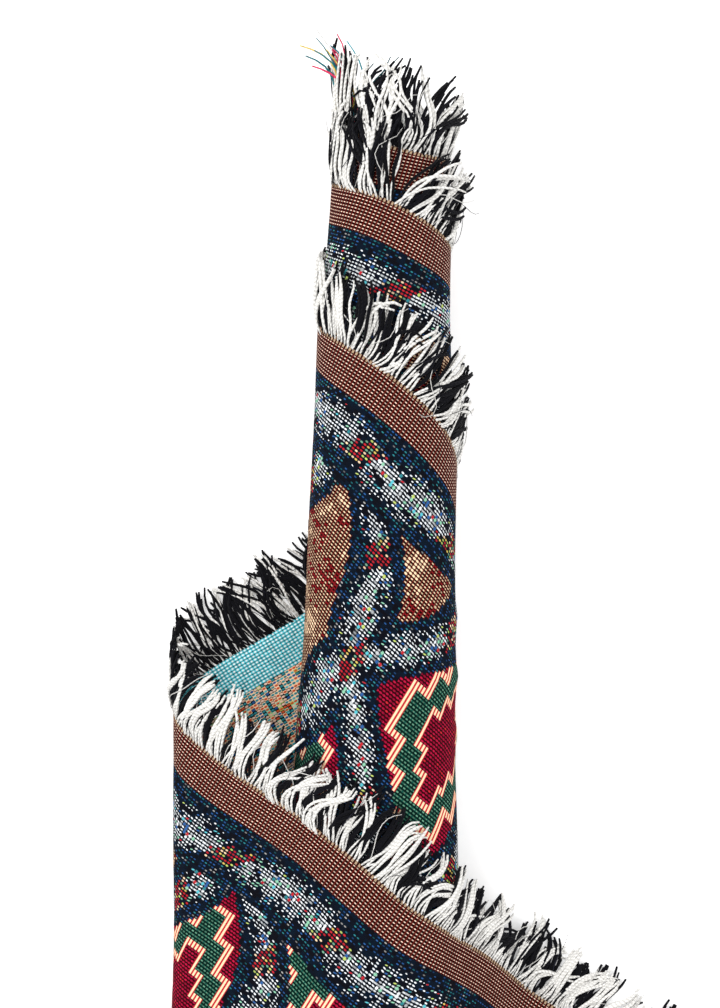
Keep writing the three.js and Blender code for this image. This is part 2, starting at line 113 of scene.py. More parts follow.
# The pattern on the flat cloth, in metres: the first diamond's middle, the leaves along the
# border, how far the slanting chains bow, the reach (as a sine) and half the width of the band
# between two leaves, and the rows in a diamond's line
DIAMOND_START = 0.7145
DIAMOND_DOWN = 0.155
FRAME_LEAF = 0.088
FRAME_HALF = 0.0165
FRAME_WAVE = 0.003
CHAIN_BOW = 0.009
BAND_SHARE = 0.34
BAND_HALF = 0.0085
LINE_ROWS = 2
# Stepped diamonds in a cell, from the outside in: half width, half height, height of a step,
# stitches across its line
DIAMONDS = ((0.046, 0.075, 0.0186, 2), (0.0235, 0.042, 0.014, 1))

# The middle of the lying blanket's footprint, in the millimetres of the two sections
ORIGIN = np.array([122.9, -631.3, 0.0])

# Fringe, in millimetres: cut yarn ends start just inside the cloth's edge and join locks, some
# of them the next lock's
ROOT_TUCK = 1.0
LOCK_PITCH = 10.5
LOCK_WANDER = 0.8
LOCK_HEIGHTS = (0.2, 3.2)
# In shares: a lock's shift along the edge, its length, and how far its yarns draw together
LOCK_SHIFT = 0.3
LOCK_LONG = (0.84, 1.06)
LOCK_SQUEEZE = (0.3, 0.66)
# Spread of the locks' bends, swings and hooks, in radians, the pace of the swing, the share of
# locks that stray, and how many times further those bend
LOCK_BEND = 0.17
LOCK_SWING = 0.34
LOCK_HOOK = 0.5
SWING_PACE = 4.6
STRAY_SHARE = 0.12
STRAY_BEND = 2.8
# A yarn's own length, in shares, the pace, height and turn of its own waves, in radians, and
# its arch, in millimetres
YARN_LONG = (0.88, 1.04)
YARN_PACE = (5, 11)
YARN_WAVE = (0.08, 0.24)
YARN_TURN = 0.07
YARN_ARCH = 1.4
# The stretches of a yarn, in shares, in which it joins its lock, rises to it and sinks
JOINS = (0.02, 0.55)
RISES = (0.08, 0.42)
SINKS = (0.1, 0.9)
# How the top fringe leans along its edge: (place along the edge, degrees towards the inner end)
LEAN = (
    (-549, 42), (-541, 26), (-530, 8), (-515, 12), (-486, 10), (-474, -12), (-462, -24),
    (-430, -18), (-380, 24), (-345, 30), (-325, 17), (-309, 17), (-292, 21), (-274, 28),
    (-272, -27), (-245, -21), (-215, -12), (-120, 20), (-70, 32), (-39, 27), (-15, 5), (10, -16),
    (66, -21), (110, -8), (180, -4), (240, -10), (340, -10), (396, 12), (500, 11), (540, -5),
    (560, -15), (600, -14), (640, -20), (720, -5), (975, 0),
)
# The usual run of a fringe: lean is a table of angles along the edge, sway a swing for all its
# locks, and swing, long and gather multiply their swing, length and squeeze. up is -1 where the
# yarns lie on the cloth's other side, settle is how far they sink, and spring, from 0 to 1, how
# straight they stand off. black is the height of the black locks, in shares, and apart the
# distance of the white yarns, in pitches
USUAL_RUN = {
    "lean": ((0, 0),), "sway": 0.0, "swing": 1.0, "long": 1.0, "gather": 1.0, "up": 1,
    "settle": 0.0, "spring": 0.0, "black": 0.7, "apart": 1.0,
}
# The runs of the top fringe from the inner end out, each with its own random draw
TOP_RUNS = {
    "inner_turn": {"draw": 41, "spring": 0.8, "swing": 1.1, "long": 1.15, "black": 1, "apart": 1.35},
    "middle_turn": {"draw": 21, "spring": 0.7, "swing": 1.1, "long": 1.08, "black": 1, "apart": 1.35},
    "outer_turn": {"draw": 31, "spring": 0.6, "swing": 1.3, "black": 1, "apart": 1.1},
    "back": {"draw": 3, "up": -1},
    "front": {"draw": -15, "settle": 1.5, "long": 0.9, "sway": -0.25, "gather": 1.35},
}
# How far past the start of the roll's outermost turn the bottom fringe starts, how far short of
# a corner a fringe stops, and the draws of the other runs
BOTTOM_START = 34
BOTTOM_SHORT = 3
END_SHORT = 2
BOTTOM_DRAW = 5
OUTER_END_DRAW = 20
CORNER_DRAW = 30
# The tuft at the inner corner: where it starts, its length and thickness in millimetres, the way
# it points, and how far its yarns stray and curl, in degrees
CORNER_DEEP = (2, 12)
CORNER_LONG = 74
CORNER_YARN = 1.35
CORNER_TOWARD = np.array([-0.02, 0.98, 0.03])
CORNER_STRAY = 4.5
CORNER_CURL = 13

# Stage, in metres: the floor, and a camera that looks straight down, whose field is measured at
# the height of the roll's middle
FLOOR_WIDE = 8
FLOOR_DROP = 0.0005
# The floor's glow is painted light that lifts the shadows on the floor.
FLOOR_GLOW = 0.32
SURROUND = 0.95
CAMERA_HEIGHT = 1.5
ROLL_MIDDLE = 0.04
FIELD_TALL = 0.6552
SENSOR_TALL = 24
CAMERA_PLACE = np.array([-ORIGIN[0] * MM, -ORIGIN[1] * MM, CAMERA_HEIGHT + ROLL_MIDDLE])
# Lamps: name, place, power in watts, width
LAMPS = (
    ("key_light", (-1.6, 1.7, 2.2), 44, 1.6),
    ("fill_light", (1.8, 0.2, 2.4), 24, 2.2),
)


def smoothstep(value, low, high):
    share = np.clip((value - low) / (high - low), 0, 1)
    return share * share * (3 - 2 * share)


def rise_heading():
    """Heading of the wrap from its fold to the roll's top, as the tangent to both rounds."""
    end = TOP_END
    dx = end["right"] - end["radius"] - end["flat"] - end["fold"] - end["fold_radius"]
    dz = end["radius"] - end["fold_radius"]
    grow = end["radius"] + end["wrap_gap"] - end["fold_radius"]
    return math.atan2(dz, dx) + math.asin(grow / math.hypot(dx, dz))


def section_rows(end):
    """Rows of a cross-section from the innermost half turn out: name, turn, radius, straight."""
    rise = rise_heading()
    roll_centre = end["right"] - end["radius"] - end["flat"]
    fold_centre = end["fold"] + end["fold_radius"]
    outer = end["radius"] + end["wrap_gap"]
    grow = outer - end["fold_radius"]
    dx = roll_centre - fold_centre - grow * math.sin(rise)
    dz = end["radius"] - end["fold_radius"] + grow * math.cos(rise)
    up = dx * math.cos(rise) + dz * math.sin(rise)
    drop = end["radius"] + outer - THICK - (outer + end["ease_radius"]) * (1 - math.cos(FALL_TURN))
    rows = [
        ("turn", math.pi, end["radius"] - half * end["pitch"] / 2, end["flat"])
        for half in range(HALF_TURNS - 1, -1, -1)
    ]
    return rows + [
        ("back", 0, 0, roll_centre - fold_centre),
        ("fold", math.pi - rise, end["fold_radius"], up),
        ("over", rise, outer, end["flat"]),
        ("fall", FALL_TURN, outer, drop / math.sin(FALL_TURN)),
        ("lie", -FALL_TURN, end["ease_radius"], LIE),
    ]


def section_path(end):
    """Points (x, y, z) of a cross-section, the heading at each, and the last point of each row."""
    x = z = 0.0
    heading = math.pi
    path = [(x, z, heading)]
    row_ends = []
    for name, turn, radius, straight in section_rows(end):
        arcs = round(abs(turn) / ARC_STEP / ARC_GROUP) * ARC_GROUP
        for _ in range(arcs):
            bend = turn / arcs
            chord = 2 * radius * math.sin(abs(bend) / 2)
            x += chord * math.cos(heading - bend / 2)
            z += chord * math.sin(heading - bend / 2)
            heading -= bend
            path.append((x, z, heading))
        for _ in range(FLAT_STEPS[name]):
            x += straight / FLAT_STEPS[name] * math.cos(heading)
            z += straight / FLAT_STEPS[name] * math.sin(heading)
            path.append((x, z, heading))
        row_ends.append((name, len(path) - 1))
    path = np.array(path)
    turns = [last for name, last in row_ends if name == "turn"]
    outermost = path[turns[-2] + 1 : turns[-1] + 1 - FLAT_STEPS["turn"], 0]
    path[:, 0] += end["right"] - outermost.max()
    path[:, 1] -= path[turns[-1], 1]
    points = np.column_stack([path[:, 0], np.full(len(path), end["y"]), path[:, 1]])
    return points, path[:, 2], row_ends


def flat_across(near, far, from_near, from_far):
    """The point at given distances from two others, on the left of the way from near to far."""
    way = far - near
    long = np.linalg.norm(way)
    share = (from_near**2 - from_far**2 + long**2) / (2 * long)
    height = math.sqrt(max(from_near**2 - share**2, 0))
    ahead = way / long
    return near + share * ahead + height * np.array([-ahead[1], ahead[0]])


class Lie:
    """How the flat cloth lies in the rolled blanket: straight lines join the two sections, and
    the surface they rule is unrolled onto a plane, where the cloth is laid askew."""

    def __init__(self):
        self.top, self.heading, self.row_ends = section_path(TOP_END)
        self.base, _, _ = section_path(BASE_END)
        self.flat_top, self.flat_base = self.unrolled()
        self.lines = self.flat_base - self.flat_top
        turns = [last for name, last in self.row_ends if name == "turn"]
        anchor = turns[-2] - FLAT_STEPS["turn"] + 1
        share = (TOP_END["y"] - OUTER_TURN_EDGE_Y) / (TOP_END["y"] - BASE_END["y"])
        self.origin = self.flat_top[anchor] + share * self.lines[anchor]
        down_angle = math.atan2(self.lines[anchor][1], self.lines[anchor][0])
        angle = down_angle + math.pi / 2 - SKEW
        self.edge = np.array([math.cos(angle), math.sin(angle)])
        self.into = np.array([self.edge[1], -self.edge[0]])

    def unrolled(self):
        flat_top = [np.zeros(2)]
        flat_base = [np.array([0, -np.linalg.norm(self.base[0] - self.top[0])])]

        def apart(first, second):
            return float(np.linalg.norm(first - second))

        for i in range(1, len(self.top)):
            top, base, top_0, base_0 = self.top[i], self.base[i], self.top[i - 1], self.base[i - 1]
            near, far = flat_top[-1], flat_base[-1]
            flat_base.append(flat_across(near, far, apart(base, top_0), apart(base, base_0)))
            far = flat_base[-1]
            flat_top.append(flat_across(near, far, apart(top, top_0), apart(top, base)))
        return np.array(flat_top), np.array(flat_base)

    def drawn_in(self, along):
        places, by = zip(*DRAWN_IN)
        return np.mean([np.interp(along + off, places, by) for off in DRAWN_IN_BLUR], axis=0)

    def along_at(self, i, down):
        """The place along the cloth where line i crosses the row at a distance down it."""
        start = self.flat_top[i] - self.origin
        along = 0.0
        for _ in range(CROSSING_ROUNDS):
            row = down + self.drawn_in(along)
            share = (row - start @ self.into) / (self.lines[i] @ self.into)
            along = float(start @ self.edge + share * (self.lines[i] @ self.edge))
        return along

    def end_place(self, i):
        """The place down the outer end where line i crosses it."""
        start = self.flat_top[i] - self.origin
        share = (OUTER_END - start @ self.edge) / (self.lines[i] @ self.edge)
        down = start @ self.into + share * (self.lines[i] @ self.into)
        return float(down - self.drawn_in(OUTER_END))

    def ripple(self, points):
        """Height of the low waves and creases, along the cloth's outward side."""
        x, y, z = points.T
        high = sum(tall * np.sin(y / down + x / over + start) for tall, down, over, start in WAVES)
        for crease_x, crease_y, turn, long, wide, height in CREASES:
            dx, dy = x - crease_x, y - crease_y
            way = dx * math.cos(turn) + dy * math.sin(turn)
            off = -dx * math.sin(turn) + dy * math.cos(turn)
            high = high + height * np.exp(-((way / long) ** 2) - (off / wide) ** 2)
        return high * smoothstep(z, *RIPPLE_FADE)

    def place(self, along, down, depth=0.0):
        """Where places on the flat cloth lie, in millimetres, and the outward side there."""
        along, down, depth = np.broadcast_arrays(along, down, np.asarray(depth, float))
        shape = along.shape
        along, down, depth = along.ravel(), down.ravel(), depth.ravel()
        flat = self.origin + along[:, None] * self.edge
        flat = flat + (down + self.drawn_in(along))[:, None] * self.into
        low = np.zeros(len(flat), int)
        high = np.full(len(flat), len(self.lines) - 1)
        while (high - low).max() > 1:
            middle = (low + high) // 2
            beyond = self.side(middle, flat) > 0
            low = np.where(beyond, middle, low)
            high = np.where(beyond, high, np.maximum(middle, low + 1))
        near, far = self.side(low, flat), self.side(low + 1, flat)
        share = (near / (near - far))[:, None]

        def between(rows):
            return rows[low] + (rows[low + 1] - rows[low]) * share

        start, run = between(self.flat_top), between(self.flat_base)
        run = run - start
        way = (((flat - start) * run).sum(1) / (run * run).sum(1))[:, None]
        top, base = between(self.top), between(self.base)
        heading = self.heading[low] + (self.heading[low + 1] - self.heading[low]) * share[:, 0]
        sideways = np.column_stack([np.cos(heading), np.zeros(len(heading)), np.sin(heading)])
        outward = np.cross(base - top, sideways)
        outward /= np.linalg.norm(outward, axis=1)[:, None]
        points = top + way * (base - top)
        points = points + outward * (self.ripple(points) - depth)[:, None] - ORIGIN
        return points.reshape(*shape, 3), outward.reshape(*shape, 3)

    def side(self, i, flat):
        """How far a flat point lies past line i."""
        line, off = self.lines[i], flat - self.flat_top[i]
        past = line[..., 0] * off[..., 1] - line[..., 1] * off[..., 0]
        return past / np.linalg.norm(line, axis=1)


lie = Lie()


def length_property(name, description, default, low, high):
    return FloatProperty(
        name=name, description=description, default=default, min=low, max=high, unit="LENGTH"
    )


class ThrowSizes(bpy.types.PropertyGroup):
    """Sizes of the throw's weave and yarns."""

    cell: length_property("Cloth cell", "Edge of one cell of the cloth's mesh", 0.0075, 0.006, 0.02)
    stitch_along: length_property(
        "Stitch along", "Repeat of the weave along the fringed edge", 0.0027, 0.001, 0.01
    )
    stitch_down: length_property(
        "Stitch down", "Repeat of the weave away from the fringed edge", 0.0022, 0.001, 0.01
    )
    border: length_property("Border", "Depth of the dotted border", 0.027, 0.0, 0.1)
    outline: length_property("Outline", "Width of the dark lines beside the leaves", 0.0058, 0.0, 0.02)
    leaf: length_property("Leaf", "Half the width of a mottled leaf", 0.0138, 0.002, 0.05)
    cell_wide: length_property(
        "Diamond width", "Repeat of the diamonds along the fringed edge", 0.152, 0.05, 0.5
    )
    cell_tall: length_property(
        "Diamond height", "Repeat of the diamonds down the cloth", 0.25, 0.05, 0.5
    )
    yarn: length_property("Yarn", "Thickness of a fringe yarn", 0.00185, 0.0005, 0.005)
    yarn_pitch: length_property(
        "Yarn pitch", "Distance between pairs of fringe yarns", 0.00275, 0.001, 0.01
    )
    fringe: length_property("Fringe", "Length of the fringe", 0.0515, 0.01, 0.1)
    seed: IntProperty(
        name="Seed", description="Start of the random draws for the fringe", default=40, min=0
    )


def colour_property(name, description, default):
    return FloatVectorProperty(
        name=name, description=description, subtype="COLOR", size=3, min=0, max=1, default=default
    )


class ThrowColours(bpy.types.PropertyGroup):
    """Colours of the throw's yarns."""

    cream: colour_property("Cream", "Light floats of the tan fields and lines", (0.86, 0.62, 0.4))
    blush: colour_property("Blush", "Light floats of the border", (0.95, 0.66, 0.52))
    rust: colour_property("Rust", "Ground of the border", (0.13, 0.011, 0.007))
    ink: colour_property("Ink", "Darkest yarn", (0.004, 0.004, 0.007))
    navy: colour_property("Navy", "Dark ground beside the leaves", (0.003, 0.008, 0.018))
    white: colour_property("White", "White yarns of the fringe", (0.92, 0.905, 0.87))
    frost: colour_property("Frost", "Cool white floats of the leaves", (0.86, 0.9, 0.93))
    crimson: colour_property("Crimson", "Floats of the diamonds", (0.21, 0.004, 0.022))
    green: colour_property("Green", "Bands within the diamonds", (0.004, 0.065, 0.047))
    mint: colour_property("Mint", "Pale green floats", (0.16, 0.36, 0.24))
    teal: colour_property("Teal", "Teal floats", (0.015, 0.12, 0.14))
    aqua: colour_property("Aqua", "Border of the reverse, bright flecks", (0.1, 0.52, 0.6))
    blue: colour_property("Blue", "Blue floats", (0.015, 0.06, 0.18))
    lime: colour_property("Lime", "Yellow-green floats", (0.5, 0.62, 0.14))
    gold: colour_property("Gold", "Floats where two leaves meet", (0.7, 0.5, 0.12))
    red: colour_property("Red", "Red floats", (0.5, 0.02, 0.03))
    orange: colour_property("Orange", "Warm yarn on the reverse", (0.75, 0.11, 0.04))
    rose: colour_property("Rose", "Bright yarn ends at the corner", (0.8, 0.05, 0.14))


class Value:
    """A number, vector or colour in a material, on which arithmetic adds Math nodes."""

    def __init__(self, socket):
        self.socket = socket
        self.tree = socket.id_data

    def __add__(self, other):
        return calc("ADD", self, other)

    def __sub__(self, other):
        return calc("SUBTRACT", self, other)

    def __rsub__(self, other):
        return calc("SUBTRACT", other, self)

    def __mul__(self, other):
        return calc("MULTIPLY", self, other)

    def __truediv__(self, other):
        return calc("DIVIDE", self, other)

    def __lt__(self, other):
        return calc("LESS_THAN", self, other)

    def __gt__(self, other):
        return calc("GREATER_THAN", self, other)


def plug(value, slot):
    if isinstance(value, Value):
        value.tree.links.new(value.socket, slot)
    elif hasattr(slot.default_value, "__len__") and len(slot.default_value) == 4:
        slot.default_value = (*value[:3], 1)
    else:
        slot.default_value = value


def calc(operation, *terms):
    tree = next(t.tree for t in terms if isinstance(t, Value))
    node = tree.nodes.new("ShaderNodeMath")
    node.operation = operation
    for term, slot in zip(terms, node.inputs):
        plug(term, slot)
    return Value(node.outputs[0])


def mix(share, first, second):
    """A colour between two."""
    node = share.tree.nodes.new("ShaderNodeMix")
    node.data_type = "RGBA"
    plug(share, node.inputs[0])
    plug(first, node.inputs[6])
    plug(second, node.inputs[7])
    return Value(node.outputs[2])


def picked(luck, colour, *bands):
    """A colour by luck: each band is a limit, and the colour above it."""
    for limit, above in bands:
        colour = mix(luck > limit, colour, above)
    return colour


def blend(share, first, second):
    """A number between two."""
    return share * (second - first) + first


def ramp(value, low, high):
    """0 below low, 1 above high, and a soft step between."""
    node = value.tree.nodes.new("ShaderNodeMapRange")
    node.interpolation_type = "SMOOTHSTEP"
    for slot, number in (("Value", value), ("From Min", low), ("From Max", high)):
        plug(number, node.inputs[slot])
    return Value(node.outputs["Result"])


def vector(x, y, z=0.0):
    node = x.tree.nodes.new("ShaderNodeCombineXYZ")
    for value, slot in zip((x, y, z), node.inputs):
        plug(value, slot)
    return Value(node.outputs[0])


def noise(place, scale, detail=2.0, stretch=(1, 1, 1)):
    node = place.tree.nodes.new("ShaderNodeTexNoise")
    node.inputs["Scale"].default_value = scale
    node.inputs["Detail"].default_value = detail
    mapping = place.tree.nodes.new("ShaderNodeMapping")
    mapping.inputs["Scale"].default_value = stretch
    plug(place, mapping.inputs["Vector"])
    plug(Value(mapping.outputs[0]), node.inputs["Vector"])
    return Value(node.outputs[0])


def chance(place):
    """A random number for each place, the same all over a stitch."""
    node = place.tree.nodes.new("ShaderNodeTexWhiteNoise")
    node.noise_dimensions = "3D"
    plug(place, node.inputs["Vector"])
    return Value(node.outputs["Value"])


either, both = partial(calc, "MAXIMUM"), partial(calc, "MINIMUM")
fraction, whole = partial(calc, "FRACT"), partial(calc, "FLOOR")
size, sine = partial(calc, "ABSOLUTE"), partial(calc, "SINE")


def new_material(name, roughness=0.95, sheen=0.0):
    """A material with one cloth-like shader; returns it with its tree and shader."""
    material = bpy.data.materials.new(name)
    material.use_nodes = True
    tree = material.node_tree
    tree.nodes.clear()
    shader = tree.nodes.new("ShaderNodeBsdfPrincipled")
    output = tree.nodes.new("ShaderNodeOutputMaterial")
    tree.links.new(shader.outputs[0], output.inputs[0])
    shader.inputs["Roughness"].default_value = roughness
    shader.inputs["Specular IOR Level"].default_value = 0.05
    shader.inputs["Sheen Weight"].default_value = sheen
    shader.inputs["Sheen Roughness"].default_value = 0.6
    return material, tree, shader


def finished(material, shader, colour, height, distance):
    """The material with its colour, and raised by a height in shares of a distance in metres."""
    plug(colour, shader.inputs["Base Color"])
    bump = height.tree.nodes.new("ShaderNodeBump")
    bump.inputs["Distance"].default_value = distance
    plug(height, bump.inputs["Height"])
    plug(Value(bump.outputs[0]), shader.inputs["Normal"])
    return material


def place_on(tree, name):
    """The two numbers of a place on the piece's own UV map."""
    uv = tree.nodes.new("ShaderNodeUVMap")
    uv.uv_map = name
    split = tree.nodes.new("ShaderNodeSeparateXYZ")
    plug(Value(uv.outputs[0]), split.inputs[0])
    return Value(split.outputs[0]), Value(split.outputs[1])


class Stitches:
    """The weave's stitches on the flat cloth, in rows along the fringed edge: each has a whole
    row and column, a middle in metres from the inner end and from the fringed edge, and offsets
    from that middle in shares of a stitch."""

    def __init__(self, tree, sizes):
        along, down = place_on(tree, "flat")
        columns = along * (ALONG * MM) / sizes.stitch_along
        rows = down * (ACROSS * MM) / sizes.stitch_down
        self.row, self.column = whole(rows), whole(columns)
        self.off_row = fraction(rows) - 0.5
        self.off_column = fraction(columns) - 0.5
        self.staggered = fraction(columns + calc("MODULO", self.row, 2) * 0.5) - 0.5
        self.u = (self.column + 0.5) * sizes.stitch_along
        self.v = (self.row + 0.5) * sizes.stitch_down
        self.place = vector(self.u, self.v)
        self.chances = [chance(vector(self.column, self.row, float(n))) for n in range(3)]
        self.row_gap = ramp(size(self.off_row), 0.26, 0.4)
        self.column_gap = ramp(size(self.off_column), 0.3, 0.4)
        self.rib = ramp(size(self.off_column), 0.3, 0.24)

    def dash(self, half_long, half_wide, staggered=False, soft=0.3, slant=0.0):
        """1 on a yarn that floats over the stitch and 0 round it."""
        a = ((self.staggered if staggered else self.off_column) + self.off_row * slant) / half_long
        b = self.off_row / half_wide
        return ramp(a * a + b * b, 1 + soft, 1 - soft)


def leaf_half(along, full):
    """Half the width of a chain of leaves at a place along it, counted in leaves."""
    return (calc("POWER", size(sine(along * math.pi)), 0.6) * 0.8 + 0.2) * full


def banded(along):
    """1 where two leaves of a chain meet."""
    return size(sine(along * math.pi)) < BAND_SHARE


def design_of(stitches, sizes):
    """The parts of the pattern as shares for each stitch: a dotted border, a chain of mottled
    leaves along it, and diamonds between slanting chains of the same leaves."""
    u, v = stitches.u, stitches.v
    edge = both(both(u, ALONG * MM - u), both(v, ACROSS * MM - v))
    frame_leaves = (u + v) / FRAME_LEAF
    wave = sine(frame_leaves * math.pi) * FRAME_WAVE
    frame_middle = sizes.border + sizes.outline + FRAME_HALF
    frame_off = size(edge + wave - frame_middle)
    in_frame = (edge + wave) < frame_middle + FRAME_HALF + sizes.outline

    bow = sine(v * (4 * math.pi / sizes.cell_tall)) * CHAIN_BOW
    first = (u - DIAMOND_START + bow) / sizes.cell_wide
    second = (v - DIAMOND_DOWN) / sizes.cell_tall
    across = 1 / math.hypot(1 / sizes.cell_wide, 1 / sizes.cell_tall)
    slants = (first + second, first - second)
    cells = [whole(slant + 0.5) for slant in slants]
    offs = [(0.5 - size(slant - cell)) * across for slant, cell in zip(slants, cells)]
    leaves, bands = [], []
    for off, other in zip(offs, reversed(slants)):
        leaves.append(1 - off / leaf_half(other * 2, sizes.leaf))
        bands.append(both(banded(other * 2), off < BAND_HALF))
    frame_leaf = 1 - frame_off / leaf_half(frame_leaves, FRAME_HALF)
    frame_band = both(banded(frame_leaves), frame_off < BAND_HALF)
    return {
        "hem": edge < sizes.stitch_down,
        "border": edge < sizes.border,
        "outline": either(in_frame, both(*offs) < sizes.leaf + sizes.outline),
        "leaf": blend(in_frame, either(*leaves), frame_leaf),
        "band": blend(in_frame, either(*bands), frame_band),
        "odd": calc("MODULO", size(cells[0]), 2) > 0.5,
        "steps": stepped_diamonds(stitches, sizes, cells),
    }


def stepped_diamonds(stitches, sizes, cells):
    """Nested stepped diamonds in the middle of each cell: where their ribbed lines are, and
    where their filled bands are."""
    middle_u = (cells[0] + cells[1]) * (sizes.cell_wide / 2) + DIAMOND_START
    middle_v = (cells[0] - cells[1]) * (sizes.cell_tall / 2) + DIAMOND_DOWN
    from_u, from_v = size(stitches.u - middle_u), size(stitches.v - middle_v)

    def inside(wide, tall, step, columns=0, rows=0):
        steps = whole((from_v + sizes.stitch_down * rows) / step) * (step * wide / tall)
        return (from_u + sizes.stitch_along * columns + steps) < wide

    line, fill = None, None
    for wide, tall, step, columns in DIAMONDS:
        outer, inner = inside(wide, tall, step), inside(wide, tall, step, columns, LINE_ROWS)
        ring = outer - inner
        line = ring if line is None else either(line, ring)
        fill = inner if fill is None else size(fill - inner)
    return {"line": line, "fill": fill}


def faded(colour, by):
    return [min(1, part * by) for part in colour]


def weave_face(colours, sizes):
    material, tree, shader = new_material("woven_face")
    stitches = Stitches(tree, sizes)
    design = design_of(stitches, sizes)
    luck, second_luck, third_luck = stitches.chances
    cloudy = noise(stitches.place, 80, stretch=(1, 0.7, 1))
    fine = noise(stitches.place, 190)
    dash = stitches.dash(0.3, 0.16)
    fat_dash = stitches.dash(0.4, 0.3)
    gaps = (stitches.row_gap, stitches.column_gap)

    # Border: blush floats on near-black rows, with rust between the floats
    brown = mix(gaps[1] * (1 - gaps[0] * 0.5), faded(colours.rust, 0.1), colours.rust)
    light = mix(luck, colours.blush, faded(colours.blush, 0.5))
    border = mix(dash, brown, light)
    hem = mix(stitches.rib * 0.6, faded(colours.rust, 0.3), faded(colours.cream, 0.9))

    # Leaves: white floats on ink, longer and then joined where they are thick, with coloured flecks
    thick = design["leaf"] * 0.8 + (cloudy - 0.5) * 1.2 + (fine - 0.5) * 1.8 + 0.3
    grow = ramp(thick, 0.0, 0.9)
    slant = (fine - 0.5) * 4 + (third_luck - 0.5) * 2.4
    hatch = stitches.dash(grow * 0.2 + 0.19, grow * 0.13 + 0.13, slant=slant)
    joined = stitches.dash(0.6, 0.29, staggered=True, slant=slant * 0.6)
    joined = joined * both(ramp(thick, 0.85, 1.0), (luck + second_luck) > 1)
    ribbed = both(ramp(thick, 0.9, 1.0), third_luck > 0.62) * stitches.rib
    run = either(either(hatch, joined), ribbed)
    fleck = picked(
        second_luck, faded(colours.blue, 1.8), (0.3, faded(colours.teal, 1.8)),
        (0.4, faded(colours.mint, 1.6)), (0.72, colours.aqua), (0.82, colours.red),
        (0.94, colours.lime),
    )
    coloured = both((third_luck + (fine - 0.5) * 1.8) > 0.8, either(hatch, stitches.rib))
    white = mix(luck * luck, colours.frost, faded(colours.frost, 0.3))
    ground = mix(ramp(fine, 0.4, 0.6), colours.ink, colours.navy)
    shown = (luck < thick * 0.75 + 0.3) * run
    leaf = mix(shown, ground, mix(coloured, white, fleck))

    # Dark lines: dim cool floats on the same ground
    cool = picked(
        second_luck, faded(colours.blue, 1.7), (0.5, faded(colours.teal, 1.7)),
        (0.86, faded(colours.white, 0.4)),
    )
    cool = mix(third_luck * 0.8, cool, colours.navy)
    outline = mix((luck < 0.65) * stitches.dash(0.34, 0.2), ground, cool)

    # Bands where the leaves meet: bright floats in short rows
    bright = picked(
        second_luck, colours.red, (0.5, colours.gold), (0.6, colours.lime), (0.68, colours.mint),
        (0.82, faded(colours.cream, 1.1)),
    )
    bright = mix(third_luck * 0.35, bright, ground)
    band = mix((luck < 0.86) * fat_dash, ground, bright)

    # Diamonds: crimson floats on near-black, and pale floats on green
    warm = mix(luck, faded(colours.crimson, 1.1), faded(colours.crimson, 2.4))
    warm = mix(second_luck > 0.94, warm, colours.red)
    slub = stitches.dash(0.44, 0.3, staggered=True)
    crimson = mix(slub, faded(colours.crimson, 0.12), warm)
    deep = mix(either(*gaps), faded(colours.green, 1.1), faded(colours.green, 0.12))
    pale = mix(luck, colours.mint, faded(colours.mint, 0.35))
    green = mix(stitches.dash(0.33, 0.19, staggered=True), deep, pale)

    # Tan fields, in every other cell: like the border, with clouds of red and of pale floats
    flush = noise(stitches.place, 34)
    flushed = ramp(flush + (fine - 0.5) * 0.5, 0.5, 0.64)
    pale_cloud = (flush - (fine - 0.5) * 0.7) < 0.4
    ruddy = mix(flushed * gaps[1] * (second_luck < 0.7), brown, faded(colours.red, 0.42))
    tan_float = either(stitches.dash(0.34, 0.2), pale_cloud * stitches.dash(0.44, 0.36))
    tan_light = mix(luck, faded(colours.cream, 1.1), faded(colours.cream, 0.5))
    tan_light = mix(pale_cloud * (third_luck < 0.8), tan_light, faded(colours.cream, 1.15))
    tan_light = mix(second_luck < flushed * 0.4, tan_light, faded(colours.red, 0.5))
    tan = mix(tan_float, ruddy, tan_light)

    steps = design["steps"]
    ribbed_line = mix(stitches.rib, colours.red, faded(colours.cream, 1.15))
    inner = mix(steps["line"], mix(steps["fill"], crimson, green), ribbed_line)
    field = mix(design["odd"], inner, tan)
    colour = mix(design["outline"], field, outline)
    colour = mix(design["leaf"] > 0, colour, leaf)
    colour = mix(design["band"], colour, band)
    colour = mix(design["border"], colour, border)
    colour = mix(design["hem"], colour, hem)
    return finished(material, shader, colour, fat_dash * 0.7 + fine * 0.3, 0.0006)


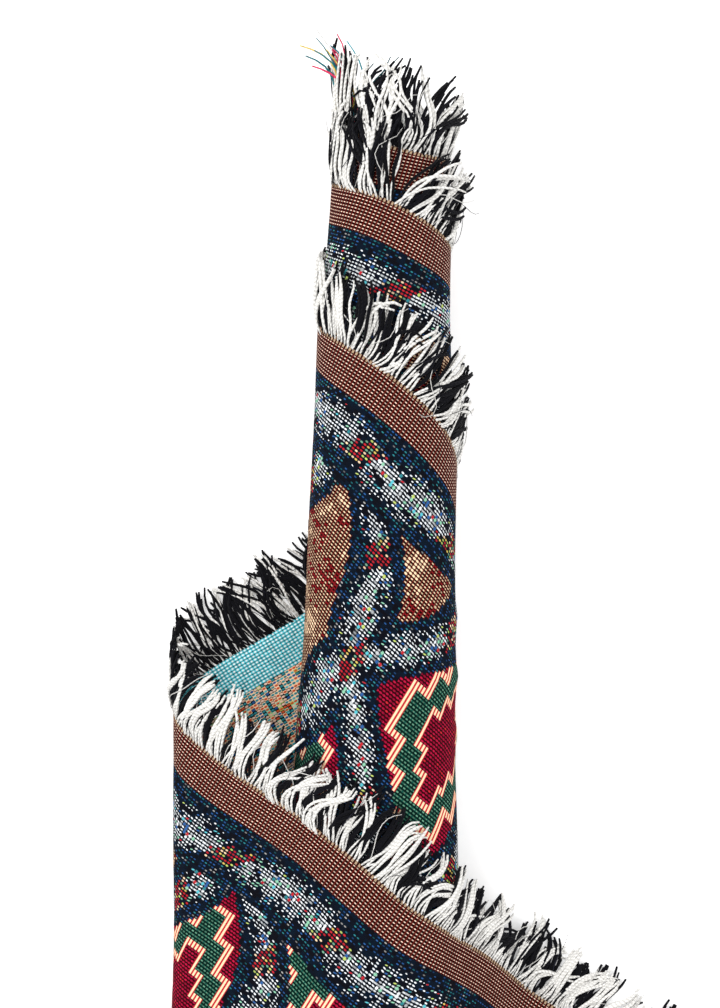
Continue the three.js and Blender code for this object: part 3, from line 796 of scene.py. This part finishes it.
def weave_reverse(colours, sizes):
    material, tree, shader = new_material("woven_reverse")
    stitches = Stitches(tree, sizes)
    design = design_of(stitches, sizes)
    luck, second_luck, third_luck = stitches.chances
    cloudy = noise(stitches.place, 75)

    # Border: pale dots on aqua, with dark ones between
    dot = stitches.dash(0.3, 0.27)
    between = stitches.row_gap * stitches.column_gap
    aqua = mix(luck, faded(colours.aqua, 1.4), faded(colours.aqua, 0.8))
    border = mix(stitches.row_gap * 0.5, aqua, faded(colours.aqua, 0.2))
    border = mix(between, border, colours.navy)
    border = mix(dot * (second_luck * 0.3 + 0.75), border, (1, 1, 1))

    # Inside: warm floats between yellow-green and dark lines, and patches where two rows of
    # three are cool
    float_dash = stitches.dash(0.46, 0.34)
    lines = picked(second_luck, faded(colours.mint, 2.2), (0.5, colours.lime))
    lines = mix(third_luck > 0.5, lines, colours.ink)
    warm = picked(luck, colours.orange, (0.5, colours.blush))
    inside = mix(float_dash, lines, warm)
    cool = picked(
        second_luck, faded(colours.teal, 2.4), (0.7, faded(colours.blue, 2)), (0.85, colours.aqua)
    )
    wavy = calc("MODULO", whole(stitches.row + cloudy * 14), 3) > 0.5
    pale = picked(luck, faded(colours.cream, 1.15), (0.5, colours.ink))
    patches = mix(float_dash, pale, mix(wavy, warm, cool))
    inside = mix(cloudy > 0.41, inside, patches)
    return finished(material, shader, mix(design["border"], inside, border), dot, 0.0005)


def weave_edge(colours, sizes):
    material, tree, shader = new_material("woven_edge")
    stitches = Stitches(tree, sizes)
    colour = mix(stitches.chances[0], colours.rust, colours.cream)
    return finished(material, shader, colour, stitches.chances[1], 0.0003)


def yarn_material(name):
    """Spun yarn: its colour from the piece's own attribute, darkened by painted shade between its
    plies, which come from the piece's UV map.
    """
    material, tree, shader = new_material(name, roughness=0.85, sheen=0.04)
    attribute = tree.nodes.new("ShaderNodeAttribute")
    attribute.attribute_name = "yarn_colour"
    round_way, length_way = place_on(tree, "plies")
    plies = sine((round_way * 2 + length_way * 17) * (2 * math.pi))
    fibres = noise(vector(round_way * 6, length_way * 40), 3.0, 3.0)
    # Painted shade: the colour darkens in the grooves between the plies, and the fibre noise both
    # varies its tone and paints shade.
    painted_ply_shade = ramp(plies, -1.2, 0.3) * 0.26 + 0.76
    painted_ply_shade = painted_ply_shade * (fibres * 0.24 + 0.88)
    node = tree.nodes.new("ShaderNodeMix")
    node.data_type = "RGBA"
    node.blend_type = "MULTIPLY"
    node.inputs[0].default_value = 1
    plug(Value(attribute.outputs["Color"]), node.inputs[6])
    plug(vector(painted_ply_shade, painted_ply_shade, painted_ply_shade), node.inputs[7])
    return finished(material, shader, Value(node.outputs[2]), plies * 0.6 + fibres, 0.0003)


def deselect_all():
    for thing in bpy.context.selected_objects:
        thing.select_set(False)


def apply_modifier(piece, name):
    deselect_all()
    bpy.context.view_layer.objects.active = piece
    piece.select_set(True)
    bpy.ops.object.modifier_apply(modifier=name)


def new_piece(name, points, faces, material):
    """A smooth piece from points in millimetres."""
    mesh = bpy.data.meshes.new(name)
    mesh.from_pydata((points.reshape(-1, 3) * MM).tolist(), [], faces)
    mesh.polygons.foreach_set("use_smooth", np.ones(len(faces), bool))
    mesh.materials.append(material)
    piece = bpy.data.objects.new(name, mesh)
    bpy.context.scene.collection.objects.link(piece)
    return piece


def corner_uv(mesh, name, per_point):
    """A UV map from one place for each point of the mesh."""
    layer = mesh.uv_layers.new(name=name)
    corners = np.zeros(len(mesh.loops), int)
    mesh.loops.foreach_get("vertex_index", corners)
    layer.data.foreach_set("uv", per_point[corners].astype(np.float32).ravel())


class THROW_OT_cloth(bpy.types.Operator):
    """Lays the woven cloth in its roll, fold and wrap"""

    bl_idname = "throw.cloth"
    bl_label = "Woven cloth"

    def execute(self, context):
        sizes, colours = context.scene.throw_sizes, context.scene.throw_colours
        rows = round(ALONG * MM / sizes.cell) + 1
        columns = round(ACROSS * MM / sizes.cell) + 1
        u, v = np.meshgrid(np.linspace(0, 1, rows), np.linspace(0, 1, columns), indexing="ij")
        points, _ = lie.place(INNER_END + u * ALONG, v * ACROSS)
        number = np.arange(rows * columns).reshape(rows, columns)
        corners = (number[:-1, :-1], number[:-1, 1:], number[1:, 1:], number[1:, :-1])
        faces = np.stack(corners, axis=-1).reshape(-1, 4).tolist()
        cloth = new_piece("cloth", points, faces, weave_face(colours, sizes))
        corner_uv(cloth.data, "flat", np.column_stack([u.ravel(), v.ravel()]))
        cloth.data.materials.append(weave_reverse(colours, sizes))
        cloth.data.materials.append(weave_edge(colours, sizes))
        thicken = cloth.modifiers.new("thickness", "SOLIDIFY")
        thicken.thickness = THICK * MM
        thicken.offset = -1
        thicken.material_offset = 1
        thicken.material_offset_rim = 2
        apply_modifier(cloth, thicken.name)
        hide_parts("woven_throw")
        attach(cloth, "root")
        return {"FINISHED"}


class Yarns:
    """Many yarns laid as tubes, gathered into one piece."""

    SIDES = 5
    STEPS = 10

    def __init__(self):
        self.batches = []

    def add(self, paths, ups, radii, colours):
        """paths and ups (n, steps, 3) and radii (n, steps) in millimetres, colours (n, 3)."""
        self.batches.append((paths, ups, radii, colours))

    def piece(self, name, material):
        paths, ups, radii, colours = (np.concatenate(part) for part in zip(*self.batches))
        count, steps, _ = paths.shape
        sides = self.SIDES
        run = np.gradient(paths, axis=1)
        run /= np.linalg.norm(run, axis=2, keepdims=True)
        across = np.cross(run, ups)
        across /= np.linalg.norm(across, axis=2, keepdims=True) + 1e-9
        above = np.cross(across, run)
        turn = np.arange(sides) * (2 * math.pi / sides)
        ring = across[:, :, None] * np.cos(turn)[:, None]
        ring = ring + above[:, :, None] * np.sin(turn)[:, None]
        points = paths[:, :, None] + ring * radii[:, :, None, None]
        points[..., 2] = np.maximum(points[..., 2], 0.0)
        per_yarn = steps * sides
        start = np.arange(count)[:, None, None] * per_yarn
        step = np.arange(steps - 1)[None, :, None] * sides
        side = np.arange(sides)[None, None, :]
        after = (side + 1) % sides
        a, b = start + step + side, start + step + after
        walls = np.stack([a, b, b + sides, a + sides], axis=-1).reshape(-1, 4)
        caps = []
        for first, order in ((0, -1), ((steps - 1) * sides, 1)):
            caps.append(start.reshape(-1, 1) + first + np.arange(sides)[::order])
        faces = walls.tolist() + np.concatenate(caps).tolist()
        piece = new_piece(name, points, faces, material)
        grid = (count, steps, sides)
        length_way = np.broadcast_to(np.linspace(0, 1, steps)[None, :, None], grid)
        round_way = np.broadcast_to(side / sides, grid)
        corner_uv(piece.data, "plies", np.column_stack([round_way.ravel(), length_way.ravel()]))
        layer = piece.data.color_attributes.new("yarn_colour", "FLOAT_COLOR", "POINT")
        rgba = np.ones((count, per_yarn, 4), np.float32)
        rgba[..., :3] = colours[:, None, :]
        layer.data.foreach_set("color", rgba.ravel())
        return piece


class Locks:
    """Uneven locks along an edge, each with its own place, bend, swing, hook at the tip, height,
    length and squeeze."""

    def __init__(self, random, run, start):
        span = run["to"] - run["from"]
        count = max(1, round(span / LOCK_PITCH))
        even = run["from"] + (np.arange(count) + start) * span / count
        self.middles = even + random.uniform(-LOCK_SHIFT, LOCK_SHIFT, count) * LOCK_PITCH
        strayed = np.where(random.random(count) < STRAY_SHARE, STRAY_BEND, 1.0)
        self.bend = random.normal(size=count) * LOCK_BEND * strayed
        self.swing = random.normal(size=count) * LOCK_SWING
        self.hook = random.normal(size=count) * LOCK_HOOK
        self.height = random.uniform(*LOCK_HEIGHTS, count)
        self.long = random.uniform(*LOCK_LONG, count)
        self.squeeze = random.uniform(*LOCK_SQUEEZE, count)

    def of(self, random, roots):
        """Which lock each yarn has joined."""
        wandered = roots + random.normal(size=len(roots)) * LOCK_WANDER
        return np.abs(wandered[:, None] - self.middles[None, :]).argmin(axis=1)


def unit(vectors):
    return vectors / np.linalg.norm(vectors, axis=-1, keepdims=True)


def sprung(run, roots, out, side, depth):
    """Paths of yarns that leave the cloth's edge straight, as stiff ones do."""
    at_edge = np.zeros(len(roots))
    start, up = lie.place(*run["flat"](roots, at_edge), HALF_THICK)
    within, _ = lie.place(*run["flat"](roots, at_edge - 2), HALF_THICK)
    beside, _ = lie.place(*run["flat"](roots + 1, at_edge), HALF_THICK)
    away, along = unit(start - within)[:, None], unit(beside - start)[:, None]
    raised = (HALF_THICK - depth)[..., None] * up[:, None]
    return start[:, None] + away * out[..., None] + along * side[..., None] + raised


def lay_yarns(yarns, random, sizes, run, locks, layer):
    """One layer of yarns along an edge. The run's flat turns a place on the edge and a distance
    out from it into a place on the flat cloth."""
    pitch = sizes.yarn_pitch / MM * layer["spread"]
    count = max(2, round((run["to"] - run["from"]) / pitch))
    places = (np.arange(count) + 0.25 + 0.5 * layer["shift"]) / count
    roots = run["from"] + places * (run["to"] - run["from"])
    share = np.linspace(0, 1, Yarns.STEPS)
    lock = locks.of(random, roots)
    long = sizes.fringe / MM * run["long"] * layer["long"] * locks.long[lock]
    long = long * random.uniform(*YARN_LONG, count)
    heading = -np.radians(np.interp(roots, *zip(*run["lean"])))[:, None]
    heading = heading + locks.bend[lock][:, None] * share**0.7
    swing = locks.swing[lock][:, None] * run["swing"] + run["sway"]
    heading = heading + swing * np.cos(share * SWING_PACE) + locks.hook[lock][:, None] * share**3
    own_pace = random.uniform(*YARN_PACE, (count, 1))
    own_start = random.uniform(0, 2 * math.pi, (count, 1))
    wave = np.sin(share * own_pace + own_start) * random.uniform(*YARN_WAVE, (count, 1))
    heading = heading + (wave + random.normal(size=(count, 1)) * YARN_TURN) * layer["loose"]
    step = (long / (Yarns.STEPS - 1))[:, None]
    out = np.cumsum(np.cos(heading), axis=1) * step - step - ROOT_TUCK
    side = np.cumsum(np.sin(heading), axis=1) * step - np.sin(heading[:, :1]) * step
    pull = smoothstep(share, *JOINS)[None, :] * locks.squeeze[lock][:, None] * run["gather"]
    side = side + (locks.middles[lock] - roots)[:, None] * pull
    rise = smoothstep(share, *RISES)
    lift = layer["root"] + (locks.height[lock][:, None] * layer["tall"] - layer["root"]) * rise
    lift = lift + layer["over"] + random.uniform(-0.5, 0.5, (count, 1))
    arch = YARN_ARCH * np.sin(math.pi * share) * random.uniform(0, 1, (count, 1))
    lift = (lift + arch) * smoothstep(share, 0.0, 0.18) * run["up"]
    depth = HALF_THICK - lift + run["settle"] * smoothstep(share, *SINKS)
    paths, ups = lie.place(*run["flat"](roots[:, None] + side, out), depth)
    straight = sprung(run, roots, out, side, depth)
    paths = paths + (straight - paths) * run["spring"] * smoothstep(share, 0, 0.7)[:, None]
    radius = sizes.yarn / MM / 2 * layer["thick"]
    paths[..., 2] = np.maximum(paths[..., 2], radius * 0.8)
    body = 0.7 + 0.38 * smoothstep(share, 0.05, 0.5) - 0.4 * share**5
    radii = radius * random.uniform(0.85, 1.12, (count, 1)) * body
    yarns.add(paths, ups, radii, layer["colour"](random, count))


def lay_fringe(run, sizes, draw, layers):
    """All yarns of one run. Layers of one kind share their locks, and the locks of each kind
    stand between those of the one before."""
    random = np.random.default_rng(sizes.seed + draw)
    yarns = Yarns()
    kinds = sorted({layer["kind"] for layer in layers})
    locks = {kind: Locks(random, run, n / len(kinds)) for n, kind in enumerate(kinds)}
    for layer in layers:
        lay_yarns(yarns, random, sizes, run, locks[layer["kind"]], layer)
    return yarns


def yarn_layer(
    kind, colour, shift, root, over=0.0, thick=1.0, spread=1.0, loose=1.0, tall=1.0, long=1.0
):
    """A layer: its kind of lock, its colours, its shift along the edge, its height at the root
    and over the locks, and its yarns' thickness, distance, looseness, height and length, in
    shares of the usual."""
    return {
        "kind": kind, "colour": colour, "shift": shift, "root": root, "over": over,
        "thick": thick, "spread": spread, "loose": loose, "tall": tall, "long": long,
    }


def shade_of(colour, low):
    """Yarn colours that vary a little round one."""

    def draw(random, count):
        return np.array(colour)[None, :] * random.uniform(low, 1.0, (count, 1))

    return draw


def colours_from(palette):
    """Yarn colours drawn one by one from a palette."""

    def draw(random, count):
        picks = random.integers(0, len(palette), count)
        return np.array(palette)[picks] * random.uniform(0.8, 1.0, (count, 1))

    return draw


def row_end(name, nth=-1):
    return [last for row, last in lie.row_ends if row == name][nth]


def top_edge(place, out):
    return place, -out


def bottom_edge(place, out):
    return place, ACROSS + out


def outer_end(place, out):
    return OUTER_END + out, place


def top_runs():
    """The fringe of the top edge, a run for each solid that it stands for."""
    turns = [lie.along_at(row_end("turn", nth), 0) for nth in (-5, -3, -1)]
    back = lie.along_at(row_end("back") + ARC_GROUP, 0)
    places = [INNER_END, *turns, back, OUTER_END]
    runs = []
    for (name, ways), start, stop in zip(TOP_RUNS.items(), places, places[1:]):
        run = {"name": "fringe_top_" + name, "from": start, "to": stop, "flat": top_edge}
        runs.append({**USUAL_RUN, **run, **ways, "lean": LEAN})
    return runs


class THROW_OT_edge_fringe(bpy.types.Operator):
    """Adds the black and white fringe of the top and bottom edges"""

    bl_idname = "throw.edge_fringe"
    bl_label = "Black and white fringe"

    def execute(self, context):
        sizes, colours = context.scene.throw_sizes, context.scene.throw_colours
        material = yarn_material("black_and_white_yarn")
        start = lie.along_at(row_end("turn", -3), ACROSS) + BOTTOM_START
        bottom = {
            **USUAL_RUN, "name": "fringe_bottom", "from": start, "to": OUTER_END - BOTTOM_SHORT,
            "flat": bottom_edge, "draw": BOTTOM_DRAW,
        }
        white, black = shade_of(colours.white, 0.88), shade_of(colours.ink, 0.5)
        ashen = shade_of(faded(colours.ink, 6), 0.3)
        for run in [*top_runs(), bottom]:
            at_back = run["name"] == "fringe_top_back"
            low, high, over = (1.4, 0.4, -0.8) if at_back else (0.2, 1.5, 0.3)
            tall, apart = run["black"], run["apart"]
            pale = black if at_back else white
            layers = [
                yarn_layer("white", white, 0, high, over, thick=1.15, loose=0.7, spread=apart),
                yarn_layer("white", pale, 0.5, high - 0.5, spread=1.8 * apart),
                yarn_layer("black", black, 1, low, thick=1.15, tall=tall, loose=0.8),
                yarn_layer("black", black, 0.5, low, spread=2, tall=tall, long=0.95),
                yarn_layer("under", black, 0.3, 0.1, thick=1.2, spread=2, tall=0.1, long=0.85),
                yarn_layer("stray", ashen, 0.2, 1.0, over=1.2, thick=0.22, spread=7, loose=3),
                yarn_layer("stray", white, 0.7, 1.0, over=1.2, thick=0.3, spread=7, loose=3),
            ]
            yarns = lay_fringe(run, sizes, run["draw"], layers)
            piece = yarns.piece(run["name"].replace("fringe", "yarns"), material)
            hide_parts(run["name"])
            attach(piece, "root")
        return {"FINISHED"}


class THROW_OT_end_fringe(bpy.types.Operator):
    """Adds the many-coloured fringe of the outer end and the tuft at the inner corner"""

    bl_idname = "throw.end_fringe"
    bl_label = "Coloured fringe"

    def execute(self, context):
        sizes, colours = context.scene.throw_sizes, context.scene.throw_colours
        palette = [
            colours.crimson, colours.green, colours.teal, colours.blue, colours.gold,
            colours.orange, colours.white, colours.cream, colours.ink, colours.navy,
        ]
        draw = colours_from([tuple(colour) for colour in palette])
        material = yarn_material("coloured_yarn")
        fold_place = lie.end_place(row_end("back") + ARC_GROUP)
        under_place = lie.end_place(row_end("turn"))
        runs = [
            {"name": "fringe_outer_end", "from": END_SHORT, "to": fold_place},
            {"name": "fringe_outer_end_under", "from": fold_place, "to": under_place, "up": -1},
        ]
        layers = [
            yarn_layer("mixed", draw, 0, 1.5), yarn_layer("mixed", draw, 0.5, 1.0),
            yarn_layer("other", draw, 1, 0.2),
        ]
        for n, run in enumerate(runs):
            run = {**USUAL_RUN, **run, "flat": outer_end}
            yarns = lay_fringe(run, sizes, OUTER_END_DRAW + n, layers)
            piece = yarns.piece(run["name"].replace("fringe", "yarns"), material)
            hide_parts(run["name"])
            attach(piece, "root")
        self.corner_tuft(sizes, colours, material)
        return {"FINISHED"}

    def corner_tuft(self, sizes, colours, material):
        """Thin bright yarns at the inner end's top corner, fanned out past it to the left."""
        random = np.random.default_rng(sizes.seed + CORNER_DRAW)
        teal = colours.teal
        # Each group: how many yarns, colour, turn at the root and turn by the tip, in degrees
        groups = (
            (5, colours.rose, 15, -50), (2, colours.rose, 10, -72), (3, faded(teal, 1.8), 16, -56),
            (3, colours.aqua, 20, -46), (2, faded(teal, 1.5), 9, -62),
            (2, faded(colours.gold, 1.2), 12, -70), (3, faded(teal, 0.9), 22, 14),
            (2, colours.white, 16, -56),
        )
        counts = [count for count, *_ in groups]
        tints = np.repeat([tuple(tint) for _, tint, *_ in groups], counts, axis=0)
        turns = np.repeat([(start, tip) for *_, start, tip in groups], counts, axis=0)
        total = sum(counts)
        share = np.linspace(0, 1, Yarns.STEPS)
        roots = random.permutation(np.linspace(*CORNER_DEEP, total))
        start, up = lie.place(np.full(total, float(INNER_END)), roots, HALF_THICK)
        toward = CORNER_TOWARD / np.linalg.norm(CORNER_TOWARD)
        across = np.array([toward[1], -toward[0], 0])
        step = CORNER_LONG * random.uniform(0.7, 1.0, (total, 1)) / (Yarns.STEPS - 1)
        turn = turns[:, :1] + turns[:, 1:] * share**1.5
        turn = turn + random.normal(size=(total, 1)) * CORNER_STRAY
        pace, begin = random.uniform(5, 9, (total, 1)), random.uniform(0, 6, (total, 1))
        turn = np.radians(turn + CORNER_CURL * np.sin(share * pace + begin))
        ahead = np.cumsum(np.cos(turn), axis=1) * step - step
        side = np.cumsum(np.sin(turn), axis=1) * step
        paths = start[:, None] + toward * ahead[..., None] + across * side[..., None]
        paths[..., 2] += random.uniform(-1.0, 1.0, (total, 1)) * share
        ups = np.repeat(up[:, None], len(share), axis=1)
        radii = CORNER_YARN / 2 * random.uniform(0.8, 1.2, (total, 1)) * (1 - 0.4 * share**3)
        yarns = Yarns()
        yarns.add(paths, ups, radii, tints * random.uniform(0.85, 1.0, (total, 1)))
        piece = yarns.piece("yarns_inner_corner", material)
        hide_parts("fringe_inner_corner")
        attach(piece, "root")


class THROW_OT_stage(bpy.types.Operator):
    """Adds the pale floor, the soft studio lights and the camera"""

    bl_idname = "throw.stage"
    bl_label = "Stage"

    def execute(self, context):
        scene = context.scene
        deselect_all()
        bpy.ops.mesh.primitive_plane_add(size=FLOOR_WIDE, location=(0, 0, -FLOOR_DROP))
        floor = bpy.context.active_object
        floor.name = "floor"
        material, tree, shader = new_material("glowing_floor", roughness=0.8)
        place = tree.nodes.new("ShaderNodeTexCoord")
        speckle = noise(Value(place.outputs["Object"]), 180)
        plug(mix(speckle, (0.9, 0.9, 0.9), (0.93, 0.93, 0.93)), shader.inputs["Base Color"])
        # The floor glows: painted light that washes out the shade the blanket casts on it.
        shader.inputs["Emission Color"].default_value = (1, 1, 1, 1)
        shader.inputs["Emission Strength"].default_value = FLOOR_GLOW
        floor.data.materials.append(material)

        world = bpy.data.worlds.new("studio")
        world.use_nodes = True
        glow = world.node_tree.nodes["Background"]
        glow.inputs["Color"].default_value = (1, 1, 1, 1)
        glow.inputs["Strength"].default_value = SURROUND
        scene.world = world
        for name, place, energy, wide in LAMPS:
            lamp = bpy.data.lights.new(name, "AREA")
            lamp.energy = energy
            lamp.size = wide
            light = bpy.data.objects.new(name, lamp)
            light.location = place
            # A lamp shines along its own -Z, here at the floor under the camera
            way = np.array([*CAMERA_PLACE[:2], 0]) - place
            light.rotation_euler = Vector(way.tolist()).to_track_quat("-Z", "Y").to_euler()
            scene.collection.objects.link(light)

        lens = bpy.data.cameras.new("camera")
        lens.sensor_fit = "VERTICAL"
        lens.sensor_height = SENSOR_TALL
        lens.lens = SENSOR_TALL * CAMERA_HEIGHT / FIELD_TALL
        camera = bpy.data.objects.new("camera", lens)
        camera.location = CAMERA_PLACE
        scene.collection.objects.link(camera)
        scene.camera = camera
        scene.view_settings.view_transform = "Standard"
        return {"FINISHED"}


class THROW_PT_panel(bpy.types.Panel):
    """Lists the throw's parts, sizes and colours"""

    bl_idname = "THROW_PT_panel"
    bl_label = "Throw"
    bl_space_type = "VIEW_3D"
    bl_region_type = "UI"
    bl_category = "Throw"

    def draw(self, context):
        layout = self.layout
        for operator in (THROW_OT_cloth, THROW_OT_edge_fringe, THROW_OT_end_fringe, THROW_OT_stage):
            layout.operator(operator.bl_idname)
        for group in (context.scene.throw_sizes, context.scene.throw_colours):
            for name in group.bl_rna.properties.keys():
                if name not in ("rna_type", "name"):
                    layout.prop(group, name)


CLASSES = (
    ThrowSizes,
    ThrowColours,
    THROW_OT_cloth,
    THROW_OT_edge_fringe,
    THROW_OT_end_fringe,
    THROW_OT_stage,
    THROW_PT_panel,
)


def register():
    for cls in CLASSES:
        bpy.utils.register_class(cls)
    bpy.types.Scene.throw_sizes = PointerProperty(type=ThrowSizes)
    bpy.types.Scene.throw_colours = PointerProperty(type=ThrowColours)


def unregister():
    del bpy.types.Scene.throw_colours
    del bpy.types.Scene.throw_sizes
    for cls in reversed(CLASSES):
        bpy.utils.unregister_class(cls)


def main():
    register()
    bpy.ops.throw.cloth()
    bpy.ops.throw.edge_fringe()
    bpy.ops.throw.end_fringe()
    bpy.ops.throw.stage()


if __name__ == "__main__":
    main()
